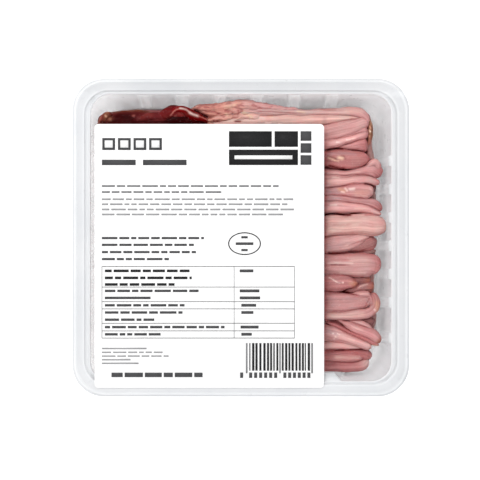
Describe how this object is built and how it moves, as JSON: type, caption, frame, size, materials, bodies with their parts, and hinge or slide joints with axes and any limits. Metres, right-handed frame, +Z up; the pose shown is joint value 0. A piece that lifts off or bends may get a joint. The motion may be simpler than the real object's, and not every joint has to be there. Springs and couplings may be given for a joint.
{
  "type": "sealed tray of raw duck tongues",
  "caption": "Shallow rounded square translucent plastic tray of raw duck tongues, sealed under a clear film with a large white paper label.",
  "frame": {"origin": "centre of the tray's base, on the surface it stands on", "axes": "+Z up towards the film, +Y towards the top edge of the label, +X towards the right-hand side where the tongues show"},
  "size_m": [0.169, 0.1596, 0.0405],
  "materials": {
    "tray_plastic": "translucent milky white, satin",
    "clear_film": "clear, glossy",
    "label_paper": "smooth matt white",
    "tongue_meat": "wet raw meat, soft sheen",
    "dark_meat": "wet dark red meat, glossy"
  },
  "bodies": {
    "root": {"tray": "tray_plastic", "lid_film": "clear_film", "label": "label_paper", "duck_tongues": "tongue_meat", "dark_red_piece": "dark_meat"}
  },
  "joints": []
}
